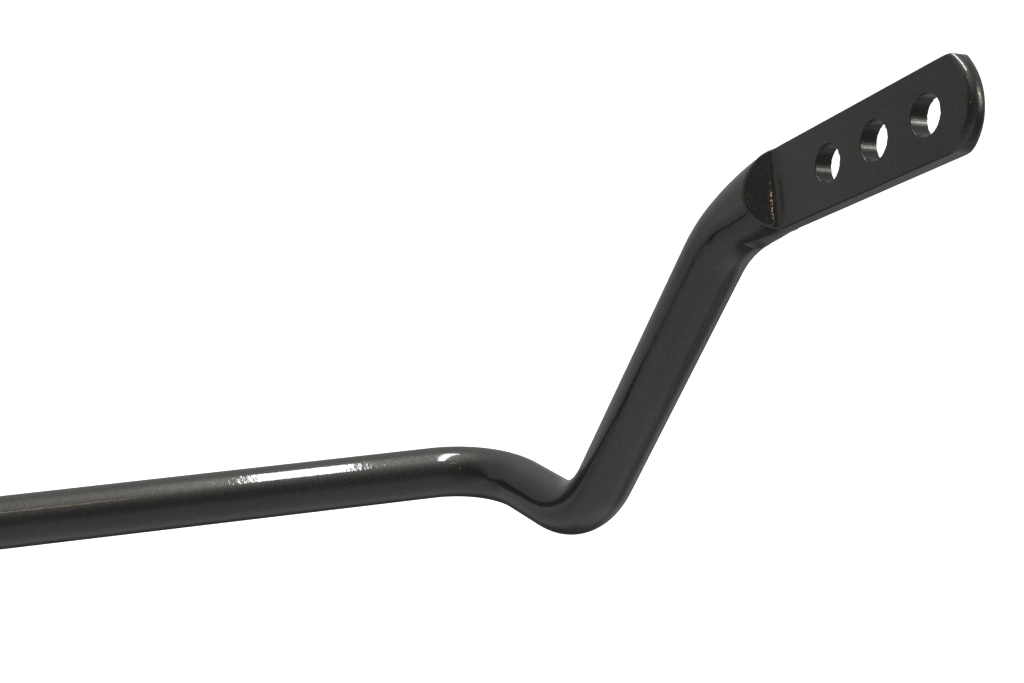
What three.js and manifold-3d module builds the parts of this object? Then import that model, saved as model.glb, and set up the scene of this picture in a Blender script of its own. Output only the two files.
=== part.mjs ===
// A one-piece steel sway bar for a car, with the two chassis mounts that carry it.
// Millimetres, +Z up. The bar's straight centre section runs along X, its arms reach towards -Y, and the
// mounts' feet rest on the plane Z = 0. The origin lies in that plane, midway between the two mounts.

import * as THREE from 'three';
import { mergeVertices } from 'three/addons/utils/BufferGeometryUtils.js';
import Module from 'manifold-3d';

const wasm = await Module();
wasm.setup();

// ---------------------------------------------------------------- driving dimensions

const AXIS_HEIGHT = 22;          // bar axis above the mounts' feet
const GAP = 0.3;                 // left between pieces that touch

const BAR_RADIUS = 11;
const BAR_SIDES = 32;
const BEND_RADIUS = 38;          // centreline
const BEND_STEPS = 10;
const HALF_SPAN = 470;           // centre of the bar to the corner of its first bend
const LEG_LENGTH = 73.6;         // first bend's corner to the second's
const LEG_SPLAY = 18.9;          // degrees outboard of -Y, seen from above
const ARM_LENGTH = 143.2;
const ARM_SPLAY = 34.8;
const ARM_RISE = 61.9;           // degrees above level
const PADDLE_SPLAY = 13;
const PADDLE_RISE = 23.7;
const PADDLE_LEAN = 9.2;         // the paddle's upper edge leans outboard by this

const PADDLE_WIDTH = 26.4;
const PADDLE_THICKNESS = 6.4;
const PADDLE_EDGE = 0.6;         // rounding along the paddle's edges
const PADDLE_LIFT = 2.9;         // paddle's middle line above the round bar's axis
const PADDLE_TIP = 118.6;        // this one and the next seven from the third bend's corner, along the paddle
const HOLE_START = 59.3;
const CREASE = 33;               // foot of the forged ramp
const STOCK_END = 16;            // round stock gives way to the flare
const WIDEN_START = -10;         // the forged stretch widens across the paddle
const WIDEN_END = 26;
const LIFT_START = 2;            // and lifts on the way to it
const LIFT_END = 33;
const RAMP_ANGLE = 49;
const TIP_RADIUS = 17.7;
const TIP_UPPER_CORNER = 1;
const TIP_LOWER_CORNER = 9.8;
const HOLE_PITCH = 21.6;
const HOLE_COUNT = 3;
const HOLE_RADIUS = 5.8;         // passes an M10 link bolt

const MOUNT_X = 205;             // centre of the bar to the middle of a mount
const BUSH_RADIUS = 20;
const BUSH_WAIST = 28;           // length between the bush's two lips
const LIP_RADIUS = 23;
const LIP_WIDTH = 3.5;
const BUSH_SLIT = 0.8;

const STRAP_WIDTH = 27;
const STRAP_THICKNESS = 3;
const FOOT_REACH = 50;           // bar axis to the end of a foot
const FOOT_HOLE_OFFSET = 37;
const FOOT_HOLE_RADIUS = 5.5;
const FOOT_FILLET = 3;

const BOLT_RADIUS = 4.9;         // M10
const BOLT_BELOW = 22;           // thread standing out below the feet
const BOLT_HEAD_FLATS = 16;
const BOLT_HEAD_HEIGHT = 6.4;
const WASHER_RADIUS = 10;
const WASHER_THICKNESS = 2;

const NIPPLE_THREAD_RADIUS = 3;  // M6
const NIPPLE_HEX_FLATS = 7;
const NIPPLE_HEX_HEIGHT = 4;
const NIPPLE_HEIGHT = 12;        // above the strap
const NIPPLE_TILT = 35;          // degrees from straight up, towards the arms

const COLLAR_RADIUS = 21;
const COLLAR_WIDTH = 13;
const COLLAR_SPLIT = 1.2;
const COLLAR_GAP = 0.5;          // side gap to the bush
const SCREW_OFFSET = 15.8;       // bar axis to a collar screw's axis
const SCREW_RADIUS = 2.5;        // M5
const SCREW_HEAD_RADIUS = 4.25;
const SCREW_HEAD_HEIGHT = 5;
const SCREW_SEAT = 5;            // bar axis up to the seat under the head
const SCREW_DEPTH = 7;           // bar axis down to the screw's tip
const SOCKET_FLATS = 4;
const SOCKET_DEPTH = 2.5;

const ROUND_SIDES = 24;          // sides of small round features
const REACH = 100;               // longer than any piece that a cutter crosses

const PAINTED_STEEL = { color: 0x2b2a28, roughness: 0.3, metalness: 0.6 };
const BUSH_RUBBER = { color: 0x16171a, roughness: 0.55, metalness: 0 };
const PLATED_STEEL = { color: 0xb9b6ab, roughness: 0.35, metalness: 0.9 };
const BRIGHT_ALLOY = { color: 0x9da0a3, roughness: 0.4, metalness: 0.8 };
const BLACK_STEEL = { color: 0x1b1b1c, roughness: 0.45, metalness: 0.7 };

// ---------------------------------------------------------------- solids

function solid(geometry) {
  const bare = geometry.clone();
  bare.deleteAttribute('normal');
  bare.deleteAttribute('uv');
  const merged = mergeVertices(bare, 1e-4);
  const corners = merged.index.array;
  const triangles = [];
  for (let i = 0; i < corners.length; i += 3) {
    const [a, b, c] = corners.slice(i, i + 3);
    if (a !== b && b !== c && c !== a) {
      triangles.push(a, b, c);
    }
  }
  return new wasm.Manifold(new wasm.Mesh({
    numProp: 3,
    vertProperties: merged.attributes.position.array,
    triVerts: new Uint32Array(triangles),
  }));
}

function surface(manifold) {
  const { vertProperties, triVerts } = manifold.getMesh();
  const geometry = new THREE.BufferGeometry();
  geometry.setAttribute('position', new THREE.BufferAttribute(new Float32Array(vertProperties), 3));
  geometry.setIndex(new THREE.BufferAttribute(new Uint32Array(triVerts), 1));
  geometry.computeVertexNormals();
  return geometry;
}

// Cylinder along Z from low to high.
function rod(radius, low, high, sides = ROUND_SIDES) {
  const geometry = new THREE.CylinderGeometry(radius, radius, high - low, sides);
  return geometry.rotateX(Math.PI / 2).translate(0, 0, (low + high) / 2);
}

// Cylinder along X.
function axle(radius, low, high, sides = ROUND_SIDES) {
  return rod(radius, low, high, sides).rotateY(Math.PI / 2);
}

// Hexagonal prism along Z, given across its flats.
function hexagon(flats, low, high) {
  return rod(flats / 2 / Math.cos(Math.PI / 6), low, high, 6);
}

function block(x, y, z, width, depth, height) {
  return new THREE.BoxGeometry(width, depth, height).translate(x, y, z);
}

// A profile drawn in the Y-Z plane, extruded along X about the middle.
function slab(shape, width, curveSegments) {
  const geometry = new THREE.ExtrudeGeometry(shape, { depth: width, bevelEnabled: false, curveSegments });
  geometry.translate(0, 0, -width / 2);
  const turn = new THREE.Matrix4().makeBasis(
    new THREE.Vector3(0, 1, 0),
    new THREE.Vector3(0, 0, 1),
    new THREE.Vector3(1, 0, 0),
  );
  return geometry.applyMatrix4(turn);
}

// A radius drawn so that its flats, not its corners, clear a round piece.
function clearing(radius, sides) {
  return radius / Math.cos(Math.PI / sides);
}

// ---------------------------------------------------------------- the bar

function direction(splay, rise) {
  const out = THREE.MathUtils.degToRad(splay);
  const up = THREE.MathUtils.degToRad(rise);
  return new THREE.Vector3(Math.sin(out) * Math.cos(up), -Math.cos(out) * Math.cos(up), Math.sin(up));
}

// Straight runs joined by arcs, with stations only where the line bends.
class BentLine extends THREE.Curve {
  constructor(corners, radius, steps) {
    super();
    this.stations = [];
    const last = corners.length - 1;
    this.station(corners[0], corners[1].clone().sub(corners[0]).normalize());
    for (let i = 1; i < last; i += 1) {
      this.bend(corners[i - 1], corners[i], corners[i + 1], radius, steps);
    }
    this.station(corners[last], corners[last].clone().sub(corners[last - 1]).normalize());
  }

  station(point, tangent) {
    this.stations.push({ point, tangent });
  }

  bend(before, corner, after, radius, steps) {
    const incoming = corner.clone().sub(before).normalize();
    const outgoing = after.clone().sub(corner).normalize();
    const angle = incoming.angleTo(outgoing);
    const start = corner.clone().addScaledVector(incoming, -radius * Math.tan(angle / 2));
    const inward = outgoing.clone().addScaledVector(incoming, -outgoing.dot(incoming)).normalize();
    for (let i = 0; i <= steps; i += 1) {
      const turned = (angle * i) / steps;
      const point = start.clone();
      point.addScaledVector(incoming, radius * Math.sin(turned));
      point.addScaledVector(inward, radius * (1 - Math.cos(turned)));
      const tangent = incoming.clone().multiplyScalar(Math.cos(turned));
      tangent.addScaledVector(inward, Math.sin(turned));
      this.station(point, tangent);
    }
  }

  at(u) {
    return this.stations[Math.round(u * (this.stations.length - 1))];
  }

  getPointAt(u, target = new THREE.Vector3()) {
    return target.copy(this.at(u).point);
  }

  getTangentAt(u, target = new THREE.Vector3()) {
    return target.copy(this.at(u).tangent);
  }
}

const firstCorner = new THREE.Vector3(HALF_SPAN, 0, AXIS_HEIGHT);
const secondCorner = firstCorner.clone().addScaledVector(direction(LEG_SPLAY, 0), LEG_LENGTH);
const thirdCorner = secondCorner.clone().addScaledVector(direction(ARM_SPLAY, ARM_RISE), ARM_LENGTH);
const paddleLine = direction(PADDLE_SPLAY, PADDLE_RISE);

// The paddle's own frame: X along it, Y across its width, Z through its thickness (towards the car's middle).
function paddleFrame() {
  const level = paddleLine.clone().cross(new THREE.Vector3(0, 0, 1)).normalize();
  const across = level.clone().cross(paddleLine);
  across.applyAxisAngle(paddleLine, -THREE.MathUtils.degToRad(PADDLE_LEAN));
  const through = paddleLine.clone().cross(across);
  return new THREE.Matrix4().makeBasis(paddleLine, across, through).setPosition(thirdCorner);
}

function roundStock() {
  const corners = [
    new THREE.Vector3(GAP / 2, 0, AXIS_HEIGHT),
    firstCorner,
    secondCorner,
    thirdCorner,
    thirdCorner.clone().addScaledVector(paddleLine, STOCK_END),
  ];
  const extrudePath = new BentLine(corners, BEND_RADIUS, BEND_STEPS);
  const circle = new THREE.Shape().absarc(0, 0, BAR_RADIUS, 0, 2 * Math.PI);
  const steps = extrudePath.stations.length - 1;
  return new THREE.ExtrudeGeometry(circle, { steps, curveSegments: BAR_SIDES / 2, extrudePath });
}

// How far the bar's centreline lies to the side of the paddle's axis, in the paddle's frame, back from the paddle.
function sideOfAxis(along) {
  const incoming = direction(ARM_SPLAY, ARM_RISE);
  const angle = incoming.angleTo(paddleLine);
  const inward = paddleLine.clone().addScaledVector(incoming, -paddleLine.dot(incoming));
  inward.addScaledVector(paddleLine, -inward.dot(paddleLine)).normalize();
  const bendEnd = BEND_RADIUS * Math.tan(angle / 2);
  const back = THREE.MathUtils.clamp((bendEnd - along) / BEND_RADIUS, 0, Math.sin(angle));
  const across = new THREE.Vector3().setFromMatrixColumn(paddleFrame(), 1);
  return BEND_RADIUS * (1 - Math.sqrt(1 - back * back)) * inward.dot(across);
}

// Widens and lifts the stock near the third bend, as the forging does.
function forge(geometry) {
  const position = geometry.attributes.position;
  for (let i = 0; i < position.count; i += 1) {
    const along = position.getX(i);
    const across = position.getY(i);
    if (along > WIDEN_START && Math.hypot(across, position.getZ(i)) < 2 * PADDLE_WIDTH) {
      const widened = THREE.MathUtils.smoothstep(along, WIDEN_START, WIDEN_END);
      const scale = THREE.MathUtils.lerp(1, PADDLE_WIDTH / 2 / BAR_RADIUS, widened);
      const lift = PADDLE_LIFT * THREE.MathUtils.smoothstep(along, LIFT_START, LIFT_END);
      const middle = sideOfAxis(along);
      position.setY(i, middle + (across - middle) * scale + lift);
    }
  }
  return geometry;
}

// The last of the stock, from just inside the round bar to the paddle.
function flare() {
  const start = STOCK_END - 1;
  const steps = 8;
  const geometry = new THREE.CylinderGeometry(BAR_RADIUS, BAR_RADIUS, CREASE - start, BAR_SIDES, steps);
  return forge(geometry.rotateZ(-Math.PI / 2).translate((start + CREASE) / 2, 0, 0));
}

// What lies outside the ramp on one face of the paddle.
function rampCutter(side) {
  const half = PADDLE_THICKNESS / 2;
  const run = CREASE;
  const climb = run * Math.tan(THREE.MathUtils.degToRad(RAMP_ANGLE));
  const profile = new THREE.Shape([
    new THREE.Vector2(CREASE, half),
    new THREE.Vector2(REACH, half),
    new THREE.Vector2(REACH, half + climb),
    new THREE.Vector2(CREASE - run, half + climb),
  ]);
  const geometry = new THREE.ExtrudeGeometry(profile, { depth: REACH, bevelEnabled: false });
  return geometry.translate(0, 0, -REACH / 2).rotateX(side * Math.PI / 2);
}

function paddlePlate() {
  const half = PADDLE_WIDTH / 2;
  const centre = PADDLE_TIP - TIP_RADIUS;
  // Each corner arc touches the straight edge and, from inside, the tip's arc.
  const corner = (radius) => {
    const y = half - radius;
    const x = centre + Math.sqrt((TIP_RADIUS - radius) ** 2 - y ** 2);
    return { x, y, lean: Math.atan2(y, x - centre) };
  };
  const lower = corner(TIP_LOWER_CORNER);
  const upper = corner(TIP_UPPER_CORNER);
  const outline = new THREE.Shape();
  outline.moveTo(CREASE - PADDLE_EDGE, -half);
  outline.lineTo(lower.x, -half);
  outline.absarc(lower.x, -lower.y, TIP_LOWER_CORNER, -Math.PI / 2, -lower.lean);
  outline.absarc(centre, 0, TIP_RADIUS, -lower.lean, upper.lean);
  outline.absarc(upper.x, upper.y, TIP_UPPER_CORNER, upper.lean, Math.PI / 2);
  outline.lineTo(CREASE - PADDLE_EDGE, half);
  const depth = PADDLE_THICKNESS - 2 * PADDLE_EDGE;
  return new THREE.ExtrudeGeometry(outline, {
    depth,
    curveSegments: 6,
    bevelThickness: PADDLE_EDGE,
    bevelSize: PADDLE_EDGE,
    bevelOffset: -PADDLE_EDGE,
    bevelSegments: 3,
  }).translate(0, PADDLE_LIFT, -depth / 2);
}

function barHalf() {
  const place = paddleFrame();
  let end = solid(flare().applyMatrix4(place));
  for (const side of [1, -1]) {
    end = end.subtract(solid(rampCutter(side).applyMatrix4(place)));
  }
  const stock = roundStock().applyMatrix4(place.clone().invert());
  let bar = solid(forge(stock).applyMatrix4(place)).add(end).add(solid(paddlePlate().applyMatrix4(place)));
  for (let i = 0; i < HOLE_COUNT; i += 1) {
    const hole = rod(HOLE_RADIUS, -REACH / 2, REACH / 2);
    hole.translate(HOLE_START + i * HOLE_PITCH, PADDLE_LIFT, 0);
    bar = bar.subtract(solid(hole.applyMatrix4(place)));
  }
  return bar;
}

// ---------------------------------------------------------------- one chassis mount, about the bar's axis

// A flat foot, straight sides, and a round top about the bar's axis.
function arch(radius, base) {
  const shape = new THREE.Shape();
  shape.moveTo(-radius, base);
  shape.lineTo(radius, base);
  shape.lineTo(radius, 0);
  shape.absarc(0, 0, radius, 0, Math.PI);
  shape.lineTo(-radius, base);
  return shape;
}

function bush() {
  const length = BUSH_WAIST + 2 * LIP_WIDTH;
  let body = solid(slab(arch(BUSH_RADIUS, -AXIS_HEIGHT), length, 12));
  for (const side of [-1, 1]) {
    const lip = slab(arch(LIP_RADIUS, -AXIS_HEIGHT), LIP_WIDTH, 12);
    lip.translate(side * (length - LIP_WIDTH) / 2, 0, 0);
    body = body.add(solid(lip));
  }
  const bore = axle(clearing(BAR_RADIUS + GAP, BAR_SIDES), -length, length, BAR_SIDES);
  const slit = block(0, LIP_RADIUS, 0, 2 * length, 2 * LIP_RADIUS, BUSH_SLIT);
  return body.subtract(solid(bore)).subtract(solid(slit));
}

function strap() {
  const inside = BUSH_RADIUS + GAP;
  const outside = inside + STRAP_THICKNESS;
  const under = -AXIS_HEIGHT;
  const top = under + STRAP_THICKNESS;
  const shape = new THREE.Shape();
  shape.moveTo(FOOT_REACH, under);
  shape.lineTo(FOOT_REACH, top);
  shape.lineTo(outside + FOOT_FILLET, top);
  shape.absarc(outside + FOOT_FILLET, top + FOOT_FILLET, FOOT_FILLET, -Math.PI / 2, -Math.PI, true);
  shape.lineTo(outside, 0);
  shape.absarc(0, 0, outside, 0, Math.PI);
  shape.lineTo(-outside, top + FOOT_FILLET);
  shape.absarc(-outside - FOOT_FILLET, top + FOOT_FILLET, FOOT_FILLET, 0, -Math.PI / 2, true);
  shape.lineTo(-FOOT_REACH, top);
  shape.lineTo(-FOOT_REACH, under);
  shape.lineTo(-inside, under);
  shape.lineTo(-inside, 0);
  shape.absarc(0, 0, inside, Math.PI, 0, true);
  shape.lineTo(inside, under);
  let body = solid(slab(shape, STRAP_WIDTH, 8));
  for (const side of [-1, 1]) {
    const hole = rod(FOOT_HOLE_RADIUS, -REACH, REACH).translate(0, side * FOOT_HOLE_OFFSET, 0);
    body = body.subtract(solid(hole));
  }
  const tapping = rod(clearing(NIPPLE_THREAD_RADIUS + GAP, ROUND_SIDES), 0, REACH);
  return body.subtract(solid(tiltNipple(tapping)));
}

function tiltNipple(geometry) {
  return geometry.rotateX(THREE.MathUtils.degToRad(NIPPLE_TILT));
}

function nipple() {
  const seat = BUSH_RADIUS + GAP + STRAP_THICKNESS + GAP;
  const hexTop = seat + NIPPLE_HEX_HEIGHT;
  const neck = NIPPLE_THREAD_RADIUS * 0.6;
  const tip = seat + NIPPLE_HEIGHT;
  const profile = [
    new THREE.Vector2(0, hexTop - 1),
    new THREE.Vector2(NIPPLE_THREAD_RADIUS, hexTop - 1),
    new THREE.Vector2(neck, hexTop + 2),
    new THREE.Vector2(neck, hexTop + 4),
    new THREE.Vector2(NIPPLE_THREAD_RADIUS, hexTop + 5.5),
    new THREE.Vector2(NIPPLE_THREAD_RADIUS, hexTop + 6.5),
    new THREE.Vector2(neck, tip),
    new THREE.Vector2(0, tip),
  ];
  const head = new THREE.LatheGeometry(profile, ROUND_SIDES).rotateX(Math.PI / 2);
  const thread = rod(NIPPLE_THREAD_RADIUS, BUSH_RADIUS + GAP, hexTop - 1);
  const body = solid(tiltNipple(hexagon(NIPPLE_HEX_FLATS, seat, hexTop)));
  return body.add(solid(tiltNipple(thread))).add(solid(tiltNipple(head)));
}

// Washers and bolts stand on the mount's foot, drawn about their own axis with Z = 0 on the foot's top.
function washer() {
  const ring = solid(rod(WASHER_RADIUS, GAP, GAP + WASHER_THICKNESS));
  return ring.subtract(solid(rod(FOOT_HOLE_RADIUS, -REACH, REACH)));
}

function bolt() {
  const seat = 2 * GAP + WASHER_THICKNESS;
  const shank = rod(BOLT_RADIUS, -STRAP_THICKNESS - BOLT_BELOW, seat + 1);
  return solid(hexagon(BOLT_HEAD_FLATS, seat, seat + BOLT_HEAD_HEIGHT)).add(solid(shank));
}

// ---------------------------------------------------------------- one locking collar, about the bar's axis

// The ring's half above (side 1) or below (side -1) the split; the upper half has the screws' counterbores.
function collarHalf(side) {
  const ring = solid(axle(COLLAR_RADIUS, -COLLAR_WIDTH / 2, COLLAR_WIDTH / 2, 48));
  const bore = solid(axle(clearing(BAR_RADIUS + GAP, BAR_SIDES), -REACH, REACH, BAR_SIDES));
  const away = COLLAR_SPLIT / 2 - REACH / 2;
  let half = ring.subtract(bore).subtract(solid(block(0, 0, side * away, REACH, REACH, REACH)));
  for (const y of [-SCREW_OFFSET, SCREW_OFFSET]) {
    const hole = rod(SCREW_RADIUS + GAP, -SCREW_DEPTH - GAP, REACH).translate(0, y, 0);
    const seat = rod(SCREW_HEAD_RADIUS + GAP, SCREW_SEAT, REACH).translate(0, y, 0);
    half = half.subtract(solid(hole)).subtract(solid(seat));
  }
  return half;
}

function collarScrew() {
  const under = SCREW_SEAT + GAP;
  const top = under + SCREW_HEAD_HEIGHT;
  const head = solid(rod(SCREW_HEAD_RADIUS, under, top));
  const shank = solid(rod(SCREW_RADIUS, -SCREW_DEPTH, under + 1));
  return head.add(shank).subtract(solid(hexagon(SOCKET_FLATS, top - SOCKET_DEPTH, top + 1)));
}

// ---------------------------------------------------------------- assembly

const swayBar = new THREE.Group();

function addPiece(name, manifold, finish, x, y, z) {
  const mesh = new THREE.Mesh(surface(manifold), new THREE.MeshStandardMaterial(finish));
  mesh.name = name;
  mesh.position.set(x, y, z);
  swayBar.add(mesh);
}

// The left half is the right half's mirror image across the car's middle plane.
function mirrored(manifold) {
  const geometry = surface(manifold).scale(-1, 1, 1);
  const corners = geometry.index.array;
  for (let i = 0; i < corners.length; i += 3) {
    [corners[i], corners[i + 1]] = [corners[i + 1], corners[i]];
  }
  return solid(geometry);
}

const rightHalf = barHalf();
addPiece('sway_bar_right_half', rightHalf, PAINTED_STEEL, 0, 0, 0);
addPiece('sway_bar_left_half', mirrored(rightHalf), PAINTED_STEEL, 0, 0, 0);

const footTop = STRAP_THICKNESS;
const collarX = MOUNT_X - BUSH_WAIST / 2 - LIP_WIDTH - COLLAR_GAP - COLLAR_WIDTH / 2;

for (const [hand, side] of [['left', -1], ['right', 1]]) {
  const x = side * MOUNT_X;
  addPiece(`${hand}_bush`, bush(), BUSH_RUBBER, x, 0, AXIS_HEIGHT);
  addPiece(`${hand}_bracket`, strap(), PLATED_STEEL, x, 0, AXIS_HEIGHT);
  addPiece(`${hand}_grease_nipple`, nipple(), PLATED_STEEL, x, 0, AXIS_HEIGHT);
  for (const [place, y] of [['front', -FOOT_HOLE_OFFSET], ['rear', FOOT_HOLE_OFFSET]]) {
    addPiece(`${hand}_bracket_${place}_washer`, washer(), PLATED_STEEL, x, y, footTop);
    addPiece(`${hand}_bracket_${place}_bolt`, bolt(), PLATED_STEEL, x, y, footTop);
  }
  addPiece(`${hand}_collar_upper`, collarHalf(1), BRIGHT_ALLOY, side * collarX, 0, AXIS_HEIGHT);
  addPiece(`${hand}_collar_lower`, collarHalf(-1), BRIGHT_ALLOY, side * collarX, 0, AXIS_HEIGHT);
  for (const [place, y] of [['front', -SCREW_OFFSET], ['rear', SCREW_OFFSET]]) {
    addPiece(`${hand}_collar_${place}_screw`, collarScrew(), BLACK_STEEL, side * collarX, y, AXIS_HEIGHT);
  }
}

export default swayBar;
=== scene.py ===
"""Looks of a steel sway bar with its two chassis mounts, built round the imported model.

Drawn in millimetres and turned into metres where a mesh is made. X runs along the bar, the arms reach
towards -Y, and the mounts' feet rest on Z = 0. The right half is drawn, and the left is its mirror image.
"""

import math

import bmesh
import bpy
import numpy as np
from mathutils import Euler, Matrix, Vector


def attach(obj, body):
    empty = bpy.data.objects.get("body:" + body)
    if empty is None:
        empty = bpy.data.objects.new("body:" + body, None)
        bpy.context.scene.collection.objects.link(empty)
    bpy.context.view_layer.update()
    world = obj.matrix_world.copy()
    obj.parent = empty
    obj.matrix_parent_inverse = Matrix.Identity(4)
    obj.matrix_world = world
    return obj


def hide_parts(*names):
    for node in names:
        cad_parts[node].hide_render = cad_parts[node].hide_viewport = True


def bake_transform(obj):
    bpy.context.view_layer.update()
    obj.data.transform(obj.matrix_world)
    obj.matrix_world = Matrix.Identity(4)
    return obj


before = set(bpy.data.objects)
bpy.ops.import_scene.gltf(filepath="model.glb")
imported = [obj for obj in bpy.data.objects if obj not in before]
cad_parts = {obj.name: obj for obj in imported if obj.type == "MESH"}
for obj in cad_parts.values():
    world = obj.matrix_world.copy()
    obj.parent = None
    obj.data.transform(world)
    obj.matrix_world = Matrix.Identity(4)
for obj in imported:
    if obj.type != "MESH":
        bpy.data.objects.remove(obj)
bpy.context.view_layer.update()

MM = 0.001
TAU = 2 * math.pi

# ---------------------------------------------------------------- sizes, in millimetres

AXIS_HEIGHT = 22.0
BAR_RADIUS = 11.0
BAR_SIDES = 72
BEND_RADIUS = 38.0
HALF_SPAN = 470.0
LEG_LENGTH = 73.6
LEG_SPLAY = 18.9
ARM_LENGTH = 143.2
ARM_SPLAY = 34.8
ARM_RISE = 61.9
PADDLE_SPLAY = 13.0
PADDLE_RISE = 23.7
PADDLE_LEAN = 9.2

PADDLE_WIDTH = 26.4
PADDLE_THICKNESS = 6.4
PADDLE_EDGE = 0.7
TIP_EDGE = 2.6
PADDLE_LIFT = 2.9
PADDLE_TIP = 119.8
CREASE = 33.0
STOCK_END = 16.0
WIDEN_START = -10.0
WIDEN_END = 26.0
LIFT_START = 2.0
LIFT_END = 33.0
RAMP_ANGLE = 49.0
TIP_RADIUS = 18.9
TIP_UPPER_CORNER = 3.4
TIP_LOWER_CORNER = 10.6
HOLE_START = 59.3
HOLE_PITCH = 21.6
HOLE_COUNT = 3
HOLE_RADIUS = 5.8
HOLE_RIM = 0.22
FORGING_CELL = 0.55
CREASE_EASE = 6.0
CREASE_SOFTNESS = 0.9
TIP_EDGE_START = 9.0
TIP_EDGE_FULL = 2.0

MOUNT_X = 205.0
BORE_RADIUS = 11.15
BUSH_RADIUS = 20.0
BUSH_WAIST = 28.0
LIP_RADIUS = 23.0
LIP_WIDTH = 3.5
BUSH_SLIT = 0.8
STRAP_WIDTH = 27.0
STRAP_THICKNESS = 3.0
STRAP_INSIDE = 20.3
FOOT_REACH = 50.0
FOOT_HOLE_OFFSET = 37.0
FOOT_HOLE_RADIUS = 5.5
FOOT_FILLET = 3.0
FOOT_CORNER = 9.0
RIB_OFFSET = 8.0
RIB_HEIGHT = 0.9

BOLT_RADIUS = 4.9
BOLT_PITCH = 1.5
BOLT_THREAD_DEPTH = 0.9
BOLT_BELOW = 22.0
BOLT_HEAD_FLATS = 16.0
BOLT_HEAD_HEIGHT = 6.4
WASHER_RADIUS = 10.0
WASHER_THICKNESS = 2.0
SEAT_GAP = 0.3
NIPPLE_TILT = 35.0
NIPPLE_FLATS = 7.0
NIPPLE_HOLE_RADIUS = 3.3

COLLAR_RADIUS = 21.0
COLLAR_WIDTH = 13.0
COLLAR_SPLIT = 1.2
COLLAR_GAP = 0.5
SCREW_OFFSET = 15.8
SCREW_RADIUS = 2.5
SCREW_HEAD_RADIUS = 4.25
SCREW_HEAD_HEIGHT = 5.0
SCREW_SEAT = 5.0
SCREW_DEPTH = 7.0
SCREW_PITCH = 0.8
SCREW_SOCKET = 4.0

# ---------------------------------------------------------------- mesh helpers


def make_piece(name, points, faces, sharp=40):
    """An object from points in millimetres, smooth except where it folds by more than the given degrees."""
    mesh = bpy.data.meshes.new(name)
    mesh.from_pydata((np.asarray(points, float) * MM).tolist(), [], [list(map(int, f)) for f in faces])
    work = bmesh.new()
    work.from_mesh(mesh)
    bmesh.ops.remove_doubles(work, verts=work.verts, dist=1e-6)
    bmesh.ops.recalc_face_normals(work, faces=work.faces)
    work.to_mesh(mesh)
    work.free()
    return finish_mesh(name, mesh, sharp)


def finish_mesh(name, mesh, sharp):
    mesh.shade_smooth()
    mesh.set_sharp_from_angle(angle=math.radians(sharp))
    piece = bpy.data.objects.new(name, mesh)
    bpy.context.scene.collection.objects.link(piece)
    return piece


def skin(rings, loop=True, wrap=False, ends="cap"):
    """Points and faces of rings of equal count. loop closes each ring, wrap joins the last to the first."""
    rings = np.asarray(rings, float)
    count, width = rings.shape[:2]
    index = np.arange(count * width).reshape(count, width)
    rows = range(count) if wrap else range(count - 1)
    columns = range(width) if loop else range(width - 1)
    faces = []
    for i in rows:
        j = (i + 1) % count
        for a in columns:
            b = (a + 1) % width
            faces.append([index[i, a], index[i, b], index[j, b], index[j, a]])
    if ends == "cap" and not wrap:
        faces.append(index[0, ::-1])
        faces.append(index[-1])
    if ends == "sides":
        faces.append(index[:, 0][::-1])
        faces.append(index[:, -1])
    return rings.reshape(-1, 3), faces


def turned(profile, sides, shape=None):
    """Rings about Z from (radius, height) pairs. shape(angle, radius, height) may change the radius."""
    angles = np.arange(sides) * TAU / sides
    rings = []
    for radius, height in profile:
        radii = np.full(sides, float(radius))
        if shape is not None:
            radii = shape(angles, radii, height)
        rings.append(np.stack([radii * np.cos(angles), radii * np.sin(angles), np.full(sides, height)], 1))
    return np.array(rings)


def hexagonal(angles, flats):
    """Radius of a hexagon with corners at the angles' zero."""
    folded = (angles + math.pi / 6) % (math.pi / 3) - math.pi / 6
    return flats / 2 / np.cos(math.pi / 6 - np.abs(folded))


def arc(centre, radius, start, end, steps):
    """Points on an arc in a plane, from start to end degrees."""
    turn = np.radians(np.linspace(start, end, steps + 1))
    return [(centre[0] + radius * math.cos(t), centre[1] + radius * math.sin(t)) for t in turn]


def carve(piece, cutters, sharp=35):
    """Cuts each cutter out of the piece, for good."""
    for cutter in cutters:
        cut = piece.modifiers.new("cut", "BOOLEAN")
        cut.operation = "DIFFERENCE"
        cut.solver = "EXACT"
        cut.object = cutter
    bpy.context.view_layer.update()
    carved = bpy.data.meshes.new_from_object(piece.evaluated_get(bpy.context.evaluated_depsgraph_get()))
    piece.modifiers.clear()
    piece.data = carved
    for cutter in cutters:
        bpy.data.objects.remove(cutter)
    carved.shade_smooth()
    carved.set_sharp_from_angle(angle=math.radians(sharp))
    return piece


def cutter_rod(radius, low, high, place, sides=48):
    points, faces = skin(turned([(radius, low), (radius, high)], sides))
    rod = make_piece("cutter", points, faces)
    rod.data.transform(place)
    return rod


def shift(x, y, z):
    return Matrix.Translation(Vector((x, y, z)) * MM)


# ---------------------------------------------------------------- the bar


def direction(splay, rise):
    out, up = math.radians(splay), math.radians(rise)
    return np.array([math.sin(out) * math.cos(up), -math.cos(out) * math.cos(up), math.sin(up)])


def unit(v):
    return v / np.linalg.norm(v)


PADDLE_LINE = direction(PADDLE_SPLAY, PADDLE_RISE)
CORNER_1 = np.array([HALF_SPAN, 0, AXIS_HEIGHT])
CORNER_2 = CORNER_1 + LEG_LENGTH * direction(LEG_SPLAY, 0)
CORNER_3 = CORNER_2 + ARM_LENGTH * direction(ARM_SPLAY, ARM_RISE)


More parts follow.
